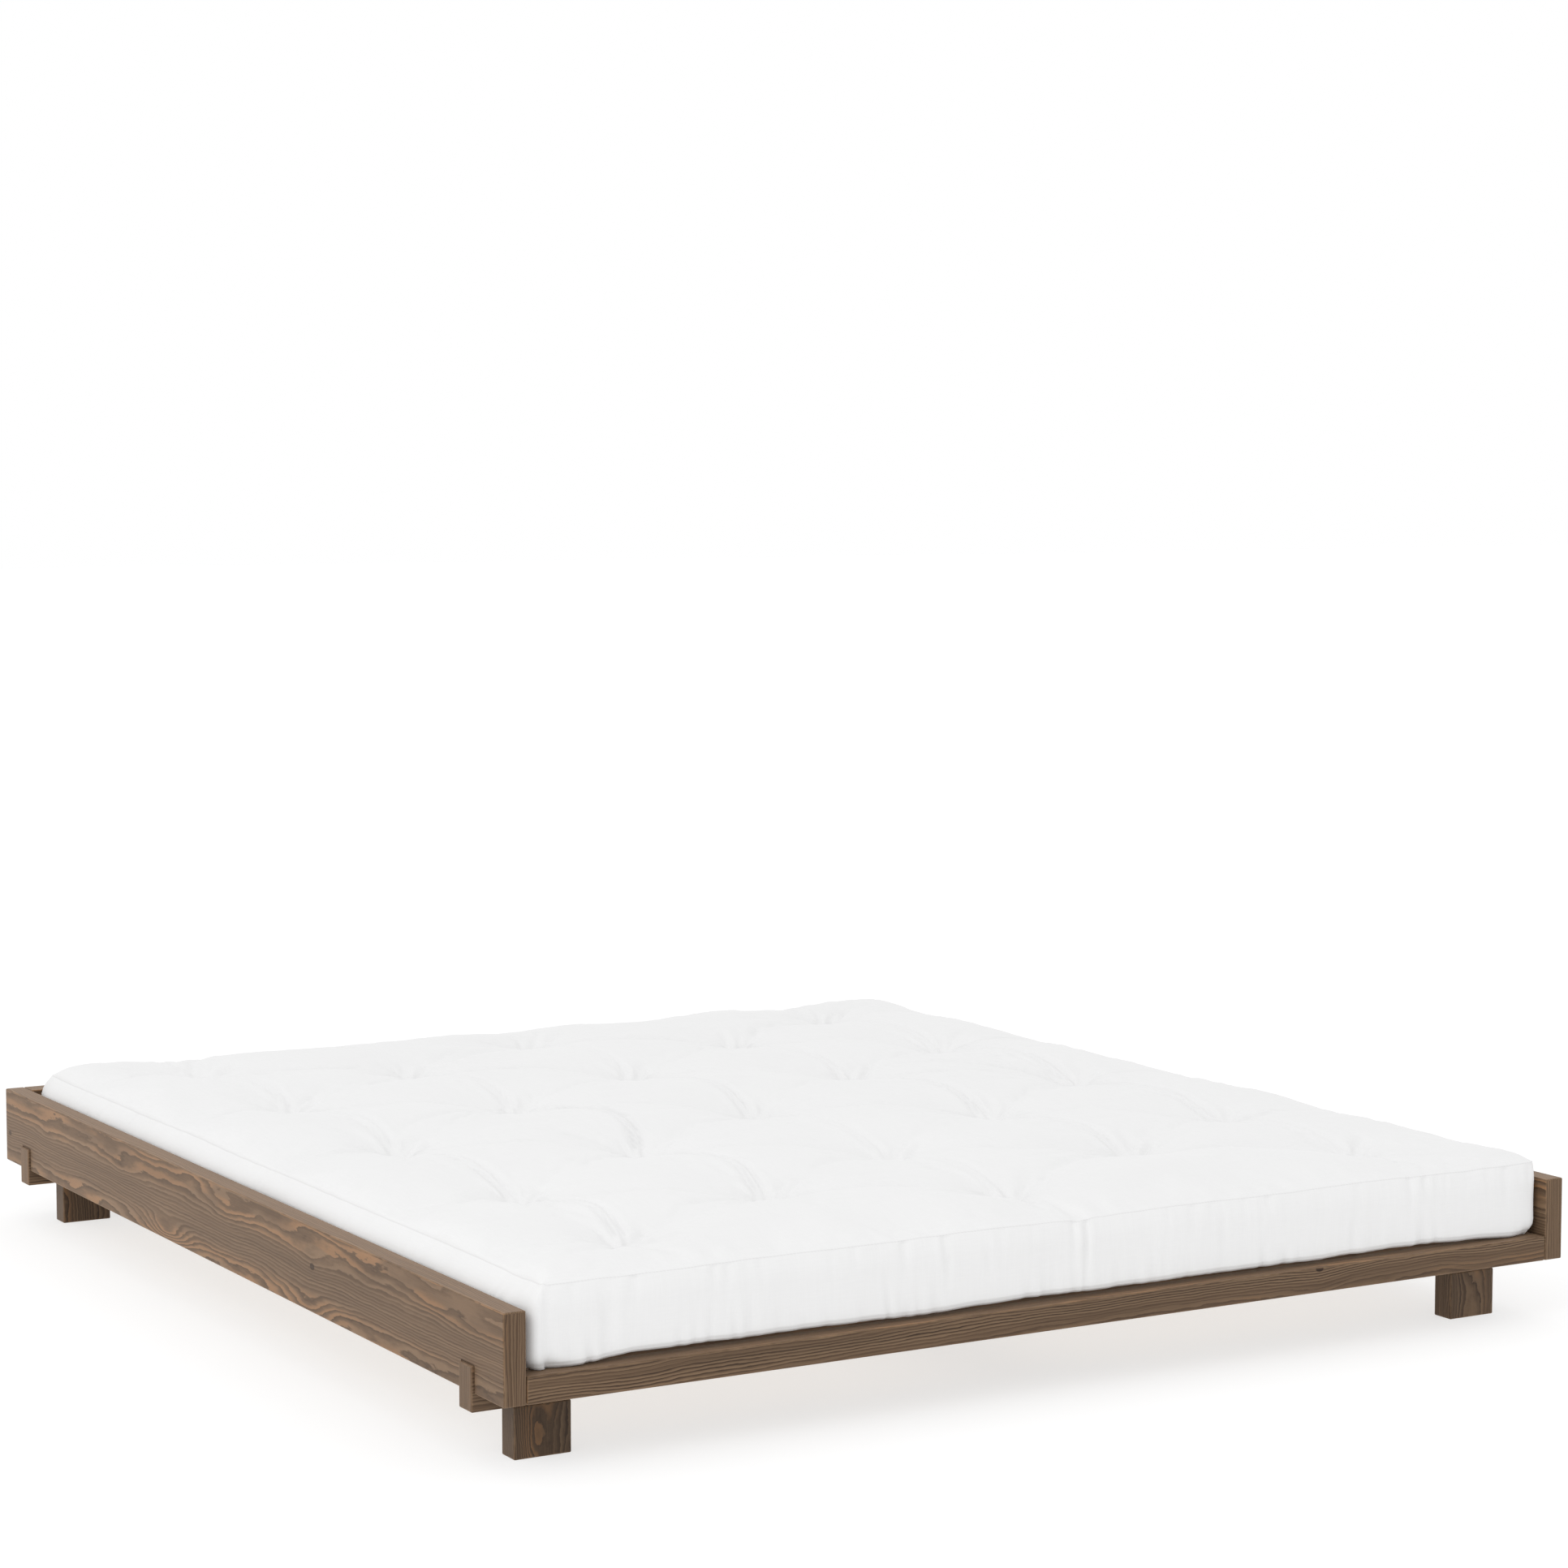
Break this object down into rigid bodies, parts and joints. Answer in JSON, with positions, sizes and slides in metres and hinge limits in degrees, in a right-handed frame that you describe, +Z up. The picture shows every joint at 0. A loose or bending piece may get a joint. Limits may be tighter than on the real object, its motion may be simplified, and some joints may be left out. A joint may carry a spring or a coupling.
{
  "type": "bed frame",
  "caption": "Low stained pine bed frame with slats on block legs, cross beams housed under its side boards, an open low foot rail and a tufted mattress that lifts off.",
  "frame": {"origin": "on the floor under the middle of the bed", "axes": "+Z up, +Y along the bed towards the head end, +X across the bed towards the side that is on the right when seen from the foot end"},
  "size_m": [1.8768, 2.06, 0.2822],
  "materials": {
    "stained_pine": "grey-brown stain with orange grain, matt lacquer",
    "raw_pine": "planed, unfinished",
    "webbing": "woven strap",
    "zinc_steel": "zinc plated",
    "cotton_cover": "plain woven cotton, tufted"
  },
  "bodies": {
    "bed_frame": {"beam_screw_foot_left": "zinc_steel", "beam_screw_foot_right": "zinc_steel", "beam_screw_head_left": "zinc_steel", "beam_screw_head_right": "zinc_steel", "bracket_screw_foot_left_end": "zinc_steel", "bracket_screw_foot_left_side": "zinc_steel", "bracket_screw_foot_right_end": "zinc_steel", "bracket_screw_foot_right_side": "zinc_steel", "bracket_screw_head_left_end": "zinc_steel", "bracket_screw_head_left_side": "zinc_steel", "bracket_screw_head_right_end": "zinc_steel", "bracket_screw_head_right_side": "zinc_steel", "corner_bracket_foot_left": "zinc_steel", "corner_bracket_foot_right": "zinc_steel", "corner_bracket_head_left": "zinc_steel", "corner_bracket_head_right": "zinc_steel", "cross_beam_foot": "stained_pine", "cross_beam_head": "stained_pine", "foot_rail": "stained_pine", "head_board": "stained_pine", "ledge_left": "stained_pine", "ledge_right": "stained_pine", "leg_bolt_foot_left": "zinc_steel", "leg_bolt_foot_right": "zinc_steel", "leg_bolt_head_left": "zinc_steel", "leg_bolt_head_right": "zinc_steel", "leg_foot_left": "stained_pine", "leg_foot_right": "stained_pine", "leg_head_left": "stained_pine", "leg_head_right": "stained_pine", "midbeam": "stained_pine", "midbeam_leg_foot": "stained_pine", "midbeam_leg_head": "stained_pine", "midbeam_screw_foot": "zinc_steel", "midbeam_screw_head": "zinc_steel", "side_board_left": "stained_pine", "side_board_right": "stained_pine", "slat_01": "raw_pine", "slat_02": "raw_pine", "slat_03": "raw_pine", "slat_04": "raw_pine", "slat_05": "raw_pine", "slat_06": "raw_pine", "slat_07": "raw_pine", "slat_08": "raw_pine", "slat_09": "raw_pine", "slat_10": "raw_pine", "slat_11": "raw_pine", "slat_12": "raw_pine", "slat_13": "raw_pine", "slat_14": "raw_pine", "slat_screw_foot_left": "zinc_steel", "slat_screw_foot_right": "zinc_steel", "slat_screw_head_left": "zinc_steel", "slat_screw_head_right": "zinc_steel", "slat_strap_left": "webbing", "slat_strap_right": "webbing"},
    "mattress": {"mattress": "cotton_cover"}
  },
  "joints": [
    {"name": "mattress_lift", "type": "slide", "parent": "bed_frame", "child": "mattress", "axis": [0, 0, 1], "range_m": [0, 0.3]}
  ]
}
